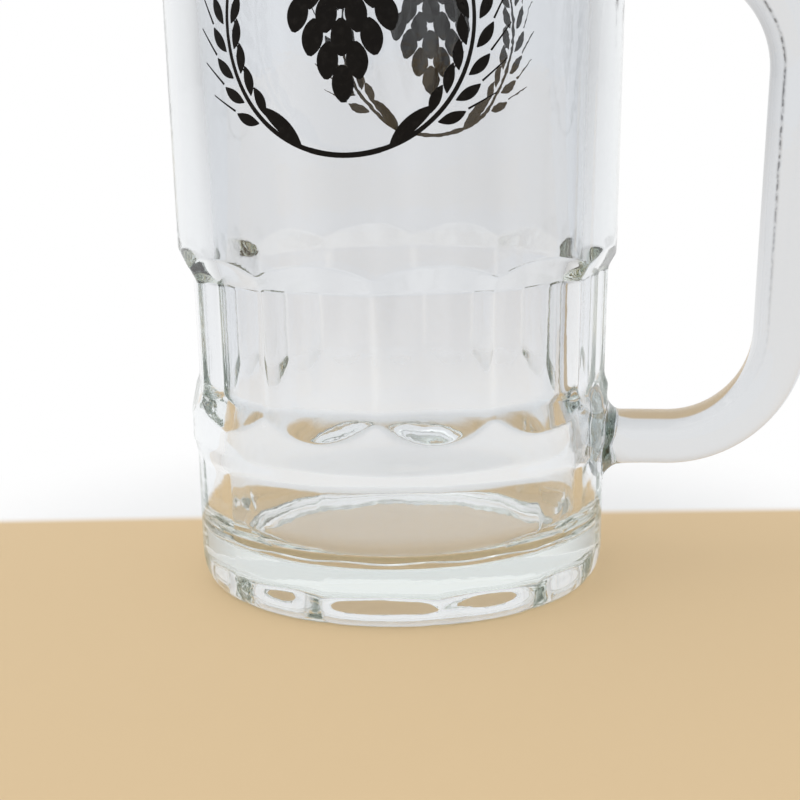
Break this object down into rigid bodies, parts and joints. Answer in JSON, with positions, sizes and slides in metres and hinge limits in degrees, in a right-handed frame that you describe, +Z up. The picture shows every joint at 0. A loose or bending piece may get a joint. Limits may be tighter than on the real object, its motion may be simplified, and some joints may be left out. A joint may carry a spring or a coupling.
{
  "type": "glass beer mug",
  "caption": "Clear pressed-glass beer mug: smooth upper bowl, twelve flat facets with arched tops below a soft shoulder, raised ring, heavy base and an applied D-shaped handle.",
  "frame": {"origin": "on the bowl's axis, in the plane of the foot's bearing ring, which is the table's surface", "axes": "+Z up along the bowl's axis, +X towards the handle, so the front print faces -Y"},
  "size_m": [0.11, 0.0774, 0.125],
  "materials": {
    "clear_glass": "clear fire-polished pressed glass with a faint green-grey tint in thick places",
    "handle_glass": "clear fire-polished glass rod, the same glass as the bowl",
    "black_enamel": "fired black enamel screen print on the smooth upper wall"
  },
  "bodies": {
    "root": {"fluted_bowl": "clear_glass", "handle": "handle_glass"}
  },
  "joints": []
}
